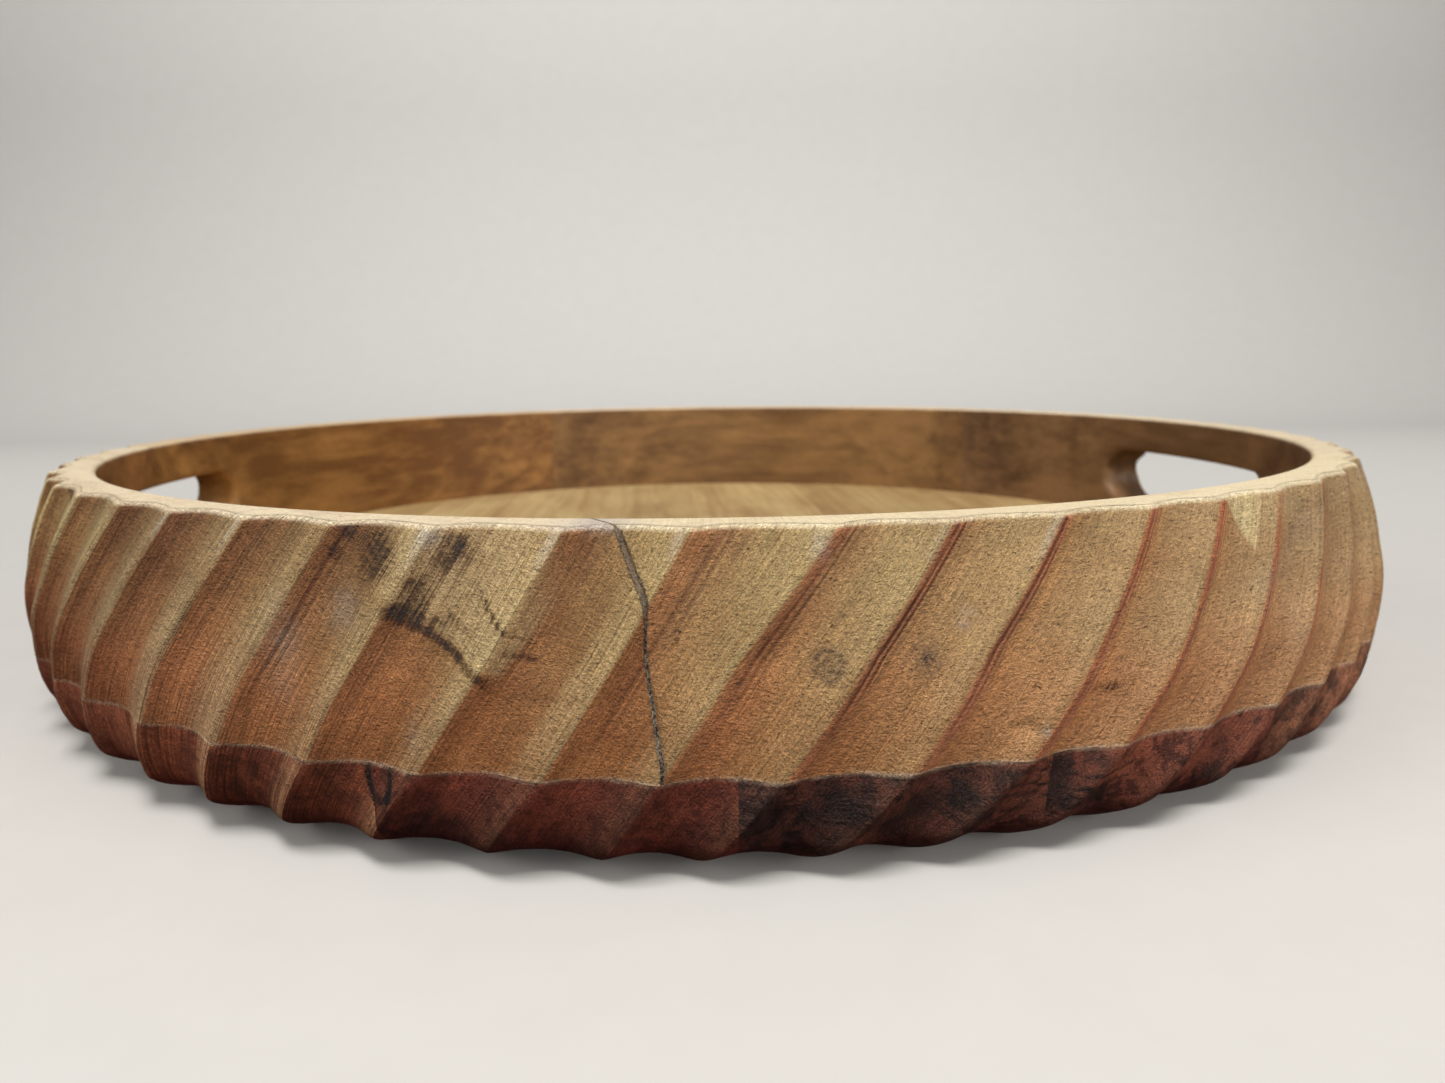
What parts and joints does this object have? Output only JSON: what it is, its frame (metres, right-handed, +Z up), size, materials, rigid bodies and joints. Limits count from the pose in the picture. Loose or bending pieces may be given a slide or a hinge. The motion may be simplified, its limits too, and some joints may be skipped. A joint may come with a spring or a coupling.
{
  "type": "offering plate",
  "caption": "Deep round wooden offering plate or serving tray, carved outside with slanting scooped flutes, with a plain upright well and a slot hand-hole on opposite sides.",
  "frame": {"origin": "centre of the flat underside", "axes": "+Z up; the two hand-holes face +X and -X; the filled wall joint is at the front, just left of -Y"},
  "size_m": [0.3798, 0.3798, 0.0579],
  "materials": {
    "wall_wood": "satin oiled hardwood, golden brown with red-brown heartwood and cream sapwood",
    "base_wood": "satin oiled hardwood boards, light tan with brown and greenish grey streaks",
    "joint_filler": "matte dark brown-black wood filler, granular"
  },
  "bodies": {
    "root": {"wall_front_right": "wall_wood", "wall_right": "wall_wood", "wall_back": "wall_wood", "wall_back_left": "wall_wood", "wall_front_left": "wall_wood", "joint_filler": "joint_filler", "base_plank_left_edge": "base_wood", "base_plank_left_outer": "base_wood", "base_plank_left_inner": "base_wood", "base_plank_centre": "base_wood", "base_plank_right_inner": "base_wood", "base_plank_right_outer": "base_wood", "base_plank_right_edge": "base_wood"}
  },
  "joints": []
}
